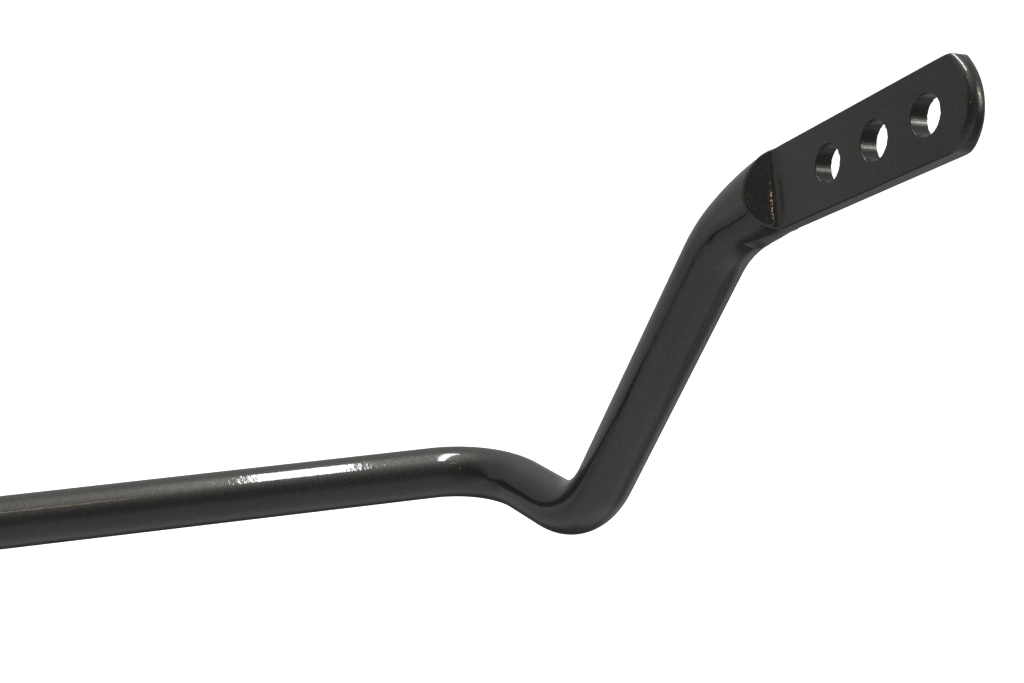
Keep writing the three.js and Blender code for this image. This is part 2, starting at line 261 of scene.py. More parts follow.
def paddle_frame():
    """Columns: along the paddle, across its width, and through it towards the car's middle."""
    level = unit(np.cross(PADDLE_LINE, [0, 0, 1]))
    upright = np.cross(level, PADDLE_LINE)
    lean = math.radians(PADDLE_LEAN)
    across = upright * math.cos(lean) - np.cross(PADDLE_LINE, upright) * math.sin(lean)
    return np.stack([PADDLE_LINE, across, np.cross(PADDLE_LINE, across)], 1)


def bent_line(ending):
    """Centreline points and tangents, from the middle of the bar to the start of the forged end."""
    middle = np.array([0, 0, AXIS_HEIGHT])
    corners = [middle, CORNER_1, CORNER_2, CORNER_3, CORNER_3 + ending * PADDLE_LINE]
    points, tangents = [corners[0]], [unit(corners[1] - corners[0])]

    def straight_to(target, spacing):
        start, tangent = points[-1], tangents[-1]
        steps = max(1, round(np.linalg.norm(target - start) / spacing))
        for i in range(1, steps + 1):
            points.append(start + (target - start) * i / steps)
            tangents.append(tangent)

    for before, corner, after in zip(corners, corners[1:], corners[2:]):
        incoming, outgoing = unit(corner - before), unit(after - corner)
        angle = math.acos(incoming @ outgoing)
        inward = unit(outgoing - incoming * (incoming @ outgoing))
        start = corner - incoming * BEND_RADIUS * math.tan(angle / 2)
        straight_to(start, 10)
        for t in np.linspace(0, angle, round(math.degrees(angle) / 3) + 1)[1:]:
            points.append(start + BEND_RADIUS * (incoming * math.sin(t) + inward * (1 - math.cos(t))))
            tangents.append(incoming * math.cos(t) + inward * math.sin(t))
    straight_to(corners[-1], 10)
    return np.array(points), np.array(tangents)


def round_stock(ending):
    points, tangents = bent_line(ending)
    side = np.array([0, 1.0, 0])
    angles = np.arange(BAR_SIDES) * TAU / BAR_SIDES
    rings = []
    for point, tangent in zip(points, tangents):
        side = unit(side - tangent * (side @ tangent))
        other = np.cross(tangent, side)
        rings.append(point + BAR_RADIUS * (np.outer(np.cos(angles), side) + np.outer(np.sin(angles), other)))
    return np.array(rings)


def rounded_both(a, b, radius):
    """Distance to what two shapes share, with the edge where they meet rounded."""
    outside = np.hypot(np.maximum(a + radius, 0), np.maximum(b + radius, 0))
    return np.minimum(np.maximum(a, b), -radius) + outside


def ease(value, start, end):
    way = np.clip((value - start) / (end - start), 0, 1)
    return way * way * (3 - 2 * way)


def widened(along):
    return BAR_RADIUS + (PADDLE_WIDTH / 2 - BAR_RADIUS) * ease(along, WIDEN_START, WIDEN_END)


def lifted(along):
    return PADDLE_LIFT * ease(along, LIFT_START, LIFT_END)


def side_of_axis(along):
    """How far the bent centreline lies from the paddle's axis, across the paddle."""
    incoming = direction(ARM_SPLAY, ARM_RISE)
    angle = math.acos(incoming @ PADDLE_LINE)
    away = unit(PADDLE_LINE * (incoming @ PADDLE_LINE) - incoming)
    bend_end = BEND_RADIUS * math.tan(angle / 2)
    back = np.clip((bend_end - along) / BEND_RADIUS, 0, math.sin(angle))
    return BEND_RADIUS * (1 - np.sqrt(1 - back * back)) * (away @ paddle_frame()[:, 1])


def forge(points):
    """Widens and lifts the stock near the third bend, for points in the paddle's frame."""
    along, across = points[:, 0], points[:, 1]
    near = (along > WIDEN_START) & (np.hypot(across, points[:, 2]) < 2 * PADDLE_WIDTH)
    middle = side_of_axis(along)
    moved = middle + (across - middle) * widened(along) / BAR_RADIUS + lifted(along)
    return np.column_stack([along, np.where(near, moved, across), points[:, 2]])


def tip_outline(along, middle):
    """Distance to the paddle's outline: straight sides, then a corner arc on each side, then the tip's arc."""
    side = np.abs(middle)
    centre = PADDLE_TIP - TIP_RADIUS
    radius = np.where(middle > 0, TIP_UPPER_CORNER, TIP_LOWER_CORNER)
    corner_side = PADDLE_WIDTH / 2 - radius
    corner_along = centre + np.sqrt((TIP_RADIUS - radius) ** 2 - corner_side**2)
    lean = np.arctan2(corner_side, corner_along - centre)
    ahead, above = along - corner_along, side - corner_side
    round_tip = np.hypot(along - centre, side) - TIP_RADIUS
    round_corner = np.hypot(ahead, above) - radius
    outline = np.where(np.arctan2(above, ahead) > lean, round_corner, round_tip)
    return np.where(ahead < 0, side - PADDLE_WIDTH / 2, outline)


def forged_end(p):
    """Signed distance, in the paddle's own frame, to the flare, the ramps, the paddle and its holes."""
    along, across, through = p[..., 0], p[..., 1], p[..., 2]
    width, height = widened(along), across - lifted(along)
    oval = np.hypot(height / width, through / BAR_RADIUS)
    steep = np.hypot(height / width**2, through / BAR_RADIUS**2) / np.maximum(oval, 1e-6)
    envelope = (oval - 1) / np.maximum(steep, 1 / 20)
    flattened = ease(along, CREASE - CREASE_EASE, CREASE + CREASE_EASE)
    envelope = envelope * (1 - flattened) + (np.abs(height) - width) * flattened
    slope = math.tan(math.radians(RAMP_ANGLE))
    climb = (CREASE - along) * slope
    above_face = (climb + np.sqrt(climb * climb + CREASE_SOFTNESS**2)) / 2 - CREASE_SOFTNESS / 4
    half = PADDLE_THICKNESS / 2 + above_face
    steepness = np.where(along < CREASE, slope, 0)
    faces = (np.abs(through) - half) / np.sqrt(1 + steepness**2)
    body = rounded_both(envelope, faces, PADDLE_EDGE)
    middle = across - PADDLE_LIFT
    near_tip = ease(along, PADDLE_TIP - TIP_EDGE_START, PADDLE_TIP - TIP_EDGE_FULL)
    edge = PADDLE_EDGE + (TIP_EDGE - PADDLE_EDGE) * near_tip
    body = rounded_both(body, tip_outline(along, middle), edge)
    for i in range(HOLE_COUNT):
        hole = HOLE_RADIUS - np.hypot(along - HOLE_START - i * HOLE_PITCH, middle)
        body = rounded_both(body, hole, HOLE_RIM)
    return body


def net(shape, low, high, cell):
    """Quads close to the surface where a signed distance is zero, over a box of cells, pulled onto it."""
    counts = np.ceil((np.array(high) - low) / cell).astype(int) + 1
    axes = [low[i] + cell * np.arange(counts[i]) for i in range(3)]
    grid = np.stack(np.meshgrid(*axes, indexing="ij"), -1)
    value = shape(grid)
    inside = value < 0
    total = np.zeros(tuple(counts - 1) + (3,))
    hits = np.zeros(tuple(counts - 1))
    corners = np.array([(i, j, k) for i in (0, 1) for j in (0, 1) for k in (0, 1)])
    window = [slice(0, n - 1) for n in counts]

    def at(array, corner):
        return array[tuple(slice(w.start + c, w.stop + c) for w, c in zip(window, corner))]

    for a in corners:
        for axis in range(3):
            if a[axis]:
                continue
            b = a.copy()
            b[axis] = 1
            va, vb = at(value, a), at(value, b)
            crossed = at(inside, a) != at(inside, b)
            share = np.where(crossed, va / np.where(crossed, va - vb, 1), 0)[..., None]
            point = at(grid, a) * (1 - share) + at(grid, b) * share
            total += np.where(crossed[..., None], point, 0)
            hits += crossed
    live = hits > 0
    number = np.full(hits.shape, -1)
    number[live] = np.arange(live.sum())
    points = total[live] / hits[live][:, None]
    quads = []
    for axis in range(3):
        u, v = [(1, 2), (2, 0), (0, 1)][axis]
        near = [slice(0, n) for n in counts]
        far = list(near)
        near[axis], far[axis] = slice(0, counts[axis] - 1), slice(1, counts[axis])
        changes = np.argwhere(inside[tuple(near)] != inside[tuple(far)])
        room = (changes[:, u] > 0) & (changes[:, v] > 0)
        room &= (changes[:, u] < counts[u] - 1) & (changes[:, v] < counts[v] - 1)
        changes = changes[room]
        cells = []
        for du, dv in ((1, 1), (0, 1), (0, 0), (1, 0)):
            c = changes.copy()
            c[:, u] -= du
            c[:, v] -= dv
            cells.append(number[tuple(c.T)])
        quad = np.stack(cells, 1)
        outward = inside[tuple(near)][tuple(changes.T)]
        quad[~outward] = quad[~outward][:, ::-1]
        quads.append(quad)
    for _ in range(4):
        points = points - slope_of(shape, points) * shape(points)[:, None]
    return points, np.concatenate(quads)


def slope_of(shape, points, step=0.02):
    """The direction in which a signed distance grows, scaled so that one step of it reaches the surface."""
    grown = []
    for axis in range(3):
        nudge = np.zeros(3)
        nudge[axis] = step
        grown.append((shape(points + nudge) - shape(points - nudge)) / (2 * step))
    grown = np.stack(grown, 1)
    return grown / np.maximum((grown**2).sum(1), 0.25)[:, None]


def open_rim(quads):
    """The points of the edges that only one face uses."""
    sides = np.concatenate([quads[:, [i, (i + 1) % 4]] for i in range(4)])
    keys, counts = np.unique(np.sort(sides, 1), axis=0, return_counts=True)
    return np.unique(keys[counts == 1])


def zip_rings(first, first_angles, second, second_angles):
    """Triangles between two rings of different counts, both round the same axis."""
    first, first_angles = first[np.argsort(first_angles)], np.sort(first_angles)
    second, second_angles = second[np.argsort(second_angles)], np.sort(second_angles)
    triangles, i, j = [], 0, 0
    while i < len(first) or j < len(second):
        next_first = first_angles[i] if i < len(first) else math.inf
        next_second = second_angles[j] if j < len(second) else math.inf
        if next_first <= next_second:
            triangles.append([first[i], first[i - 1], second[j - 1]])
            i += 1
        else:
            triangles.append([second[j - 1], second[j % len(second)], first[i - 1]])
            j += 1
    return triangles


def follow_forging(mesh, place, start):
    """Gives the forged ends' points the exact slope of the forging, for clean highlights on small edges."""
    points = np.array([v.co for v in mesh.vertices]) / MM
    right = points[:, 0] >= 0
    folded = np.column_stack([np.abs(points[:, 0]), points[:, 1:]])
    local = (folded - CORNER_3) @ place
    forged = (local[:, 0] > start + 2) & (np.hypot(local[:, 1], local[:, 2]) < 2 * PADDLE_WIDTH)
    normals = np.zeros_like(points)
    slopes = slope_of(forged_end, local[forged])
    normals[forged] = slopes / np.linalg.norm(slopes, axis=1)[:, None] @ place.T
    normals[~right, 0] *= -1
    mesh.normals_split_custom_set_from_vertices(normals.tolist())


def sway_bar():
    start = STOCK_END - 1
    place = paddle_frame()
    points, quads = net(
        forged_end,
        np.array([start, -PADDLE_WIDTH / 2 - 1, -BAR_RADIUS - 2]),
        np.array([PADDLE_TIP + 2, PADDLE_WIDTH / 2 + PADDLE_LIFT + 2, BAR_RADIUS + 2]),
        FORGING_CELL,
    )
    rim = open_rim(quads)
    points[rim, 0] = start + FORGING_CELL / 2
    rim_angles = np.arctan2(points[rim, 2], points[rim, 1])
    world = CORNER_3 + points @ place.T
    rings = round_stock(start - FORGING_CELL)
    tube, tube_faces = skin(rings, ends="open")
    local = forge((tube - CORNER_3) @ place)
    tube = CORNER_3 + local @ place.T
    last = np.arange(len(tube) - BAR_SIDES, len(tube))
    seam = zip_rings(last, np.arctan2(local[last, 2], local[last, 1]), rim + len(tube), rim_angles)
    right = np.concatenate([tube, world])
    faces = tube_faces + (quads + len(tube)).tolist() + seam
    left = right[BAR_SIDES:] * [-1, 1, 1]
    number = np.concatenate([np.arange(BAR_SIDES), np.arange(len(left)) + len(right)])
    faces += [[number[i] for i in face[::-1]] for face in faces]
    bar = make_piece("sway_bar", np.concatenate([right, left]), faces, sharp=180)
    follow_forging(bar.data, place, start)
    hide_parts("sway_bar_left_half", "sway_bar_right_half")
    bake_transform(bar)
    return bar


# ---------------------------------------------------------------- the chassis mounts


def arch_outline(radius, slit):
    """A bush's outline in Y and Z about the bar's axis, from above the slit round to below it."""
    corner = 1.6
    base = -AXIS_HEIGHT
    lean = math.degrees(math.asin(slit / 2 / radius))
    outline = arc((0, 0), radius, lean, 180, 36)
    outline += [(-radius, z) for z in np.linspace(-4, base + corner + 2, 4)]
    outline += arc((-radius + corner, base + corner), corner, 180, 270, 4)
    outline += [(y, base) for y in np.linspace(-radius + corner + 2, radius - corner - 2, 12)]
    outline += arc((radius - corner, base + corner), corner, 270, 360, 4)
    outline += [(radius, z) for z in np.linspace(base + corner + 2, -4, 4)]
    outline.append((radius, -slit / 2))
    return np.array(outline)


def bore_outline(outline, radius):
    """Points on the bore, each on the same ray as its point on the outline."""
    return outline / np.linalg.norm(outline, axis=1)[:, None] * radius


def bush(hand, side):
    """A lip, the waist that the bracket grips, another lip, then back through the bore; slit at the rear."""
    half = BUSH_WAIST / 2 + LIP_WIDTH
    waist = BUSH_WAIST / 2
    lip = arc((half - 1, LIP_RADIUS - 1), 1, 0, 90, 4)
    lip += arc((waist + 1, LIP_RADIUS - 1), 1, 90, 180, 4)
    root = arc((waist - 0.8, BUSH_RADIUS + 0.8), 0.8, 0, -90, 4)
    outer = lip + root
    outer += [(-x, r) for x, r in outer[::-1]]
    mouth = arc((half - 0.8, BORE_RADIUS + 0.8), 0.8, -90, 0, 4)
    grooves = []
    for centre in (-9, -3, 3, 9):
        grooves += [(centre - 1.2, 0), (centre - 0.6, 0.5), (centre + 0.6, 0.5), (centre + 1.2, 0)]
    strips = []
    for x, radius in outer:
        outline = arch_outline(radius, BUSH_SLIT)
        strips.append(np.column_stack([np.full(len(outline), x), outline]))
    reference = arch_outline(LIP_RADIUS, BUSH_SLIT)
    inner = [(-x, r) for x, r in mouth[::-1]]
    inner += [(x, BORE_RADIUS + depth) for x, depth in grooves]
    inner += mouth
    for x, radius in inner:
        outline = bore_outline(reference, radius)
        strips.append(np.column_stack([np.full(len(outline), x), outline]))
    points, faces = skin(np.array(strips), loop=False, wrap=True, ends="sides")
    points = points + [side * MOUNT_X, 0, AXIS_HEIGHT]
    piece = make_piece(f"{hand}_bush_moulding", points, faces, sharp=50)
    return dress(piece, "chassis_mounts", "bush_polyurethane", [f"{hand}_bush"])


def strap_line():
    """Middle of the strap in Y and Z about the bar's axis, foot to foot, with a tangent at each point."""
    middle = STRAP_INSIDE + STRAP_THICKNESS / 2
    floor = -AXIS_HEIGHT + STRAP_THICKNESS / 2
    fillet = FOOT_FILLET + STRAP_THICKNESS / 2
    out = [(y, floor) for y in FOOT_REACH - np.array([0, 0.3, 1, 2, 3.5, 5.5, 8, 12, 16, 19])]
    out += arc((middle + fillet, floor + fillet), fillet, -90, -180, 8)
    out += [(middle, z) for z in np.linspace(floor + fillet + 3, -2, 5)]
    out += arc((0, 0), middle, 0, 90, 24)
    line = np.array(out + [(-y, z) for y, z in out[-2::-1]])
    tangent = np.gradient(line, axis=0)
    return line, tangent / np.linalg.norm(tangent, axis=1)[:, None]


def strap_section(half_width, rib):
    """The strap's section: X and height above its middle, with two pressed ribs."""
    half, round_ = STRAP_THICKNESS / 2, 0.6
    spread = np.linspace(-half_width + round_, half_width - round_, 41)
    lift = rib * sum(np.exp(-(((spread - x) / 2.0) ** 2)) for x in (-RIB_OFFSET, RIB_OFFSET))
    top = [(x, half + h) for x, h in zip(spread, lift)]
    under = [(x, -half + h) for x, h in zip(spread, lift)][::-1]
    right = arc((half_width - round_, half - round_), round_, 90, 0, 3)
    right += arc((half_width - round_, -half + round_), round_, 0, -90, 3)
    left = [(-x, h) for x, h in right[::-1]]
    return np.array(top + right[1:-1] + under + left[1:-1])


def bracket(hand, side):
    line, tangents = strap_line()
    travelled = np.concatenate([[0], np.cumsum(np.linalg.norm(np.diff(line, axis=0), axis=1))])
    length = travelled[-1]
    rings = []
    for point, tangent, way in zip(line, tangents, travelled):
        from_end = min(way, length - way)
        inset = max(0, FOOT_CORNER - from_end)
        half_width = STRAP_WIDTH / 2 - FOOT_CORNER + math.sqrt(FOOT_CORNER**2 - inset**2)
        rib = RIB_HEIGHT * float(ease(from_end, 19, 27))
        outward = np.array([tangent[1], -tangent[0]])
        section = strap_section(half_width, rib)
        yz = point + np.outer(section[:, 1], outward)
        rings.append(np.column_stack([section[:, 0], yz]))
    points, faces = skin(np.array(rings))
    points = points + [side * MOUNT_X, 0, AXIS_HEIGHT]
    piece = make_piece(f"{hand}_bracket_pressing", points, faces, sharp=40)
    cutters = []
    for y in (-FOOT_HOLE_OFFSET, FOOT_HOLE_OFFSET):
        cutters.append(cutter_rod(FOOT_HOLE_RADIUS, -5, 8, shift(side * MOUNT_X, y, 0)))
    tilt = Matrix.Rotation(math.radians(NIPPLE_TILT), 4, "X")
    cutters.append(cutter_rod(NIPPLE_HOLE_RADIUS, 15, 30, shift(side * MOUNT_X, 0, AXIS_HEIGHT) @ tilt))
    carve(piece, cutters)
    return dress(piece, "chassis_mounts", "bracket_zinc", [f"{hand}_bracket"])


def grease_nipple(hand, side):
    seat = STRAP_INSIDE + STRAP_THICKNESS + SEAT_GAP
    corner = NIPPLE_FLATS / 2 / math.cos(math.pi / 6)

    def hexed(angles, radii, height):
        if seat <= height <= seat + 4:
            return np.minimum(radii, hexagonal(angles, NIPPLE_FLATS))
        return radii

    thread = [(2.8, STRAP_INSIDE - 0.2)]
    for i in range(3):
        z = STRAP_INSIDE + 0.2 + i
        thread += [(3.0, z), (2.6, z + 0.5)]
    head = [
        (2.6, seat - 0.01),
        (corner - 0.6, seat),
        (corner, seat + 0.4),
        (corner, seat + 3.6),
        (corner - 0.6, seat + 4),
        (2.6, seat + 4.01),
        (2.4, seat + 5),
        (1.8, seat + 6.2),
        (1.7, seat + 7.4),
        (2.3, seat + 8.6),
        (2.95, seat + 9.3),
        (3.0, seat + 10.2),
        (2.5, seat + 11.2),
        (1.7, seat + 11.9),
        (1.1, seat + 12.0),
        (0.9, seat + 11.6),
        (0.3, seat + 11.4),
    ]
    points, faces = skin(turned([(0.5, STRAP_INSIDE - 0.2)] + thread + head, 48, hexed))
    tilt = np.array(Matrix.Rotation(math.radians(NIPPLE_TILT), 3, "X"))
    points = points @ tilt.T + [side * MOUNT_X, 0, AXIS_HEIGHT]
    piece = make_piece(f"{hand}_grease_fitting", points, faces, sharp=30)
    return dress(piece, "chassis_mounts", "nipple_zinc", [f"{hand}_grease_nipple"])


def washer(hand, place, x, y):
    low = STRAP_THICKNESS + SEAT_GAP
    high = low + WASHER_THICKNESS
    inner, outer = FOOT_HOLE_RADIUS, WASHER_RADIUS
    profile = [(inner + 0.2, low), (outer - 0.3, low), (outer, low + 0.3)]
    profile += arc((outer - 0.6, high - 0.6), 0.6, 0, 90, 4)
    profile += arc((inner + 0.3, high - 0.3), 0.3, 90, 180, 3)
    profile.append((inner, low + 0.2))
    points, faces = skin(turned(profile, 64), wrap=True)
    piece = make_piece(f"{hand}_{place}_washer", points + [x, y, 0], faces, sharp=50)
    return dress(piece, "chassis_mounts", "washer_zinc", [f"{hand}_bracket_{place}_washer"])


def threaded(angles, radii, height, pitch, depth):
    """A helical groove cut into a round shank."""
    phase = (height / pitch - angles / TAU) % 1
    return radii - depth * (1 - np.abs(2 * phase - 1)) ** 1.2


def bolt(hand, place, x, y):
    seat = STRAP_THICKNESS + 2 * SEAT_GAP + WASHER_THICKNESS
    top = seat + BOLT_HEAD_HEIGHT
    end = -BOLT_BELOW
    corner = BOLT_HEAD_FLATS / 2 / math.cos(math.pi / 6)
    slope = math.tan(math.radians(28))

    def shaped(angles, radii, height):
        if height >= seat:
            chamfer = BOLT_HEAD_FLATS / 2 - 0.3 + (top - height) / slope
            flat_sides = np.minimum(hexagonal(angles, BOLT_HEAD_FLATS), chamfer)
            return np.minimum(radii, flat_sides)
        if height < 0:
            taper = min(1.0, (height - end) / 1.0 + 0.15)
            thread = threaded(angles, radii, height, BOLT_PITCH, BOLT_THREAD_DEPTH)
            return np.minimum(thread, radii * (0.8 + 0.2 * taper))
        return radii

    profile = [(0.6, end), (3.8, end)]
    profile += [(BOLT_RADIUS, z) for z in np.arange(end + 0.25, 0, BOLT_PITCH / 6)]
    profile += [(BOLT_RADIUS, 0.1), (BOLT_RADIUS, seat - 0.3), (BOLT_RADIUS + 0.3, seat - 0.02)]
    flats = BOLT_HEAD_FLATS / 2
    profile += [(flats - 0.4, seat - 0.01), (flats - 0.3, seat + 0.3), (corner, seat + 0.5)]
    profile += [(corner, z) for z in np.linspace(seat + 2.2, top, 14)]
    profile += [(BOLT_HEAD_FLATS / 2 - 0.8, top), (5.0, top - 0.02), (4.6, top - 0.35), (0.6, top - 0.35)]
    points, faces = skin(turned(profile, 48, shaped))
    piece = make_piece(f"{hand}_{place}_bolt", points + [x, y, 0], faces, sharp=28)
    return dress(piece, "chassis_mounts", "bolt_zinc", [f"{hand}_bracket_{place}_bolt"])


# ---------------------------------------------------------------- the locking collars


def collar_x(side):
    return side * (MOUNT_X - BUSH_WAIST / 2 - LIP_WIDTH - COLLAR_GAP - COLLAR_WIDTH / 2)


def collar_half(hand, side, place):
    """Half a ring above or below the split, with chamfered edges, screw holes and the heads' seats."""
    half, chamfer = COLLAR_WIDTH / 2, 0.9
    section = [(half - 0.4, BORE_RADIUS), (half, BORE_RADIUS + 0.4), (half, COLLAR_RADIUS - chamfer)]
    section += [(half - chamfer, COLLAR_RADIUS)]
    section += [(-x, r) for x, r in section[::-1]]
    flip = 1 if place == "upper" else -1
    rings = []
    for way in np.linspace(0, 1, 49):
        ring = []
        for x, radius in section:
            low = math.asin(COLLAR_SPLIT / 2 / radius)
            angle = low + (math.pi - 2 * low) * way
            ring.append((x, radius * math.cos(angle), flip * radius * math.sin(angle)))
        rings.append(ring)
    points, faces = skin(np.array(rings))
    centre = (collar_x(side), 0, AXIS_HEIGHT)
    piece = make_piece(f"{hand}_collar_{place}_half", points + centre, faces, sharp=30)
    cutters = []
    for y in (-SCREW_OFFSET, SCREW_OFFSET):
        place_at = shift(centre[0], y, AXIS_HEIGHT)
        cutters.append(cutter_rod(SCREW_RADIUS + 0.3, -SCREW_DEPTH - 0.3, 30, place_at))
        if place == "upper":
            cutters.append(cutter_rod(SCREW_HEAD_RADIUS + 0.3, SCREW_SEAT, 30, place_at))
    carve(piece, cutters, 30)
    soften = piece.modifiers.new("soften", "BEVEL")
    soften.width = 0.25 * MM
    soften.segments = 2
    soften.limit_method = "ANGLE"
    soften.angle_limit = math.radians(40)
    return dress(piece, f"bar_{hand}", "collar_aluminium", [f"{hand}_collar_{place}"])


def collar_screw(hand, side, place):
    """Socket head screw with a knurled head."""
    under = SCREW_SEAT + SEAT_GAP
    top = under + SCREW_HEAD_HEIGHT
    y = -SCREW_OFFSET if place == "front" else SCREW_OFFSET

    def knurled(angles, radii, height):
        if height < under:
            return threaded(angles, radii, height, SCREW_PITCH, 0.4) if height < -0.5 else radii
        teeth = 0.12 * np.abs(np.sin(angles * 18))
        return radii - teeth

    profile = [(0.4, -SCREW_DEPTH), (2.0, -SCREW_DEPTH)]
    profile += [(SCREW_RADIUS, z) for z in np.arange(-SCREW_DEPTH + 0.3, -0.5, SCREW_PITCH / 5)]
    profile += [(SCREW_RADIUS, 0), (SCREW_RADIUS, under - 0.01)]
    profile += [(SCREW_HEAD_RADIUS - 0.3, under), (SCREW_HEAD_RADIUS, under + 0.3)]
    profile += [(SCREW_HEAD_RADIUS, z) for z in (under + 1.5, under + 3, top - 0.6)]
    outer = turned(profile, 72, knurled)
    cap = arc((SCREW_HEAD_RADIUS - 0.72, top - 0.6), 0.6, 0, 90, 4)
    crown = turned(cap + [(SCREW_SOCKET / 2 + 0.55, top)], 72)

    def key(angles, radii, height):
        return hexagonal(angles, SCREW_SOCKET)

    recess = turned([(0, top), (0, top - 0.2), (0, top - 2.5)], 72, key)
    recess[0] *= [1.12, 1.12, 1]
    floor = turned([(0.4, top - 2.9)], 72)
    points, faces = skin(np.concatenate([outer, crown, recess, floor]))
    points = points + [collar_x(side), y, AXIS_HEIGHT]
    piece = make_piece(f"{hand}_{place}_socket_screw", points, faces, sharp=40)
    return dress(piece, f"bar_{hand}", "screw_black", [f"{hand}_collar_{place}_screw"])


# ---------------------------------------------------------------- finishes


class Finish:
    """A material on one Principled shader, with short words for its nodes."""

    def __init__(self, name, **values):
        self.material = bpy.data.materials.new(name)
        self.material.use_nodes = True
        self.tree = self.material.node_tree
        self.shader = self.tree.nodes["Principled BSDF"]
        for socket, value in values.items():
            self.shader.inputs[socket.replace("_", " ")].default_value = value
        self.place = self.tree.nodes.new("ShaderNodeTexCoord").outputs["Object"]

    def node(self, kind, inputs=None, **settings):
        made = self.tree.nodes.new(kind)
        for key, value in settings.items():
            setattr(made, key, value)
        for key, value in (inputs or {}).items():
            if isinstance(value, bpy.types.NodeSocket):
                self.tree.links.new(value, made.inputs[key])
            else:
                made.inputs[key].default_value = value
        return made

    def group(self, tree, inputs):
        return self.node("ShaderNodeGroup", inputs, node_tree=tree)

    def feed(self, socket, output):
        self.tree.links.new(output, self.shader.inputs[socket])


def new_group(name, inputs, outputs):
    tree = bpy.data.node_groups.new(name, "ShaderNodeTree")
    for label, kind, value in inputs:
        socket = tree.interface.new_socket(label, in_out="INPUT", socket_type=kind)
        if value is not None:
            socket.default_value = value
    for label, kind in outputs:
        tree.interface.new_socket(label, in_out="OUTPUT", socket_type=kind)
    return tree, tree.nodes.new("NodeGroupInput"), tree.nodes.new("NodeGroupOutput")


def speckle_group():
    """Fine two-tone grain over a colour, a wide cloudy drift, and the same grain as a bump."""
    tree, given, result = new_group(
        "fine_grain",
        [
            ("Place", "NodeSocketVector", None),
            ("Dark", "NodeSocketColor", (0, 0, 0, 1)),
            ("Light", "NodeSocketColor", (1, 1, 1, 1)),
            ("Grains per metre", "NodeSocketFloat", 2000.0),
            ("Roughness", "NodeSocketFloat", 0.4),
            ("Roughness spread", "NodeSocketFloat", 0.1),
            ("Bump", "NodeSocketFloat", 0.1),
            ("Bump height", "NodeSocketFloat", 0.0001),
        ],
        [("Color", "NodeSocketColor"), ("Roughness", "NodeSocketFloat"), ("Normal", "NodeSocketVector")],
    )
    nodes, link = tree.nodes, tree.links.new
    grain = nodes.new("ShaderNodeTexNoise")
    grain.inputs["Detail"].default_value = 3
    link(given.outputs["Place"], grain.inputs["Vector"])
    link(given.outputs["Grains per metre"], grain.inputs["Scale"])
    drift = nodes.new("ShaderNodeTexNoise")
    drift.inputs["Scale"].default_value = 35
    drift.inputs["Detail"].default_value = 4
    link(given.outputs["Place"], drift.inputs["Vector"])
    both = nodes.new("ShaderNodeMath")
    both.operation = "MULTIPLY_ADD"
    both.inputs[1].default_value = 0.65
    link(grain.outputs["Fac"], both.inputs[0])
    quiet = nodes.new("ShaderNodeMath")
    quiet.operation = "MULTIPLY"
    quiet.inputs[1].default_value = 0.35
    link(drift.outputs["Fac"], quiet.inputs[0])
    link(quiet.outputs[0], both.inputs[2])
    spread = nodes.new("ShaderNodeMapRange")
    spread.inputs["From Min"].default_value = 0.3
    spread.inputs["From Max"].default_value = 0.7
    link(both.outputs[0], spread.inputs["Value"])
    mix = nodes.new("ShaderNodeMix")
    mix.data_type = "RGBA"
    link(spread.outputs[0], mix.inputs["Factor"])
    link(given.outputs["Dark"], mix.inputs["A"])
    link(given.outputs["Light"], mix.inputs["B"])
    link(mix.outputs["Result"], result.inputs["Color"])
    rough = nodes.new("ShaderNodeMath")
    rough.operation = "MULTIPLY_ADD"
    link(spread.outputs[0], rough.inputs[0])
    link(given.outputs["Roughness spread"], rough.inputs[1])
    link(given.outputs["Roughness"], rough.inputs[2])
    link(rough.outputs[0], result.inputs["Roughness"])
    bump = nodes.new("ShaderNodeBump")
    link(grain.outputs["Fac"], bump.inputs["Height"])
    link(given.outputs["Bump"], bump.inputs["Strength"])
    link(given.outputs["Bump height"], bump.inputs["Distance"])
    link(bump.outputs["Normal"], result.inputs["Normal"])
    return tree


FINE_GRAIN = speckle_group()


def grained(name, dark, light, grains, roughness, spread, bump, height, **values):
    """A finish with fine two-tone grain: grains per metre, then roughness and bump with their reach."""
    finish = Finish(name, **values)
    grain = finish.group(
        FINE_GRAIN,
        {
            "Place": finish.place,
            "Dark": (*dark, 1),
            "Light": (*light, 1),
            "Grains per metre": grains,
            "Roughness": roughness,
            "Roughness spread": spread,
            "Bump": bump,
            "Bump height": height,
        },
    )
    finish.feed("Base Color", grain.outputs["Color"])
    finish.feed("Roughness", grain.outputs["Roughness"])
    finish.feed("Normal", grain.outputs["Normal"])
    return finish.material


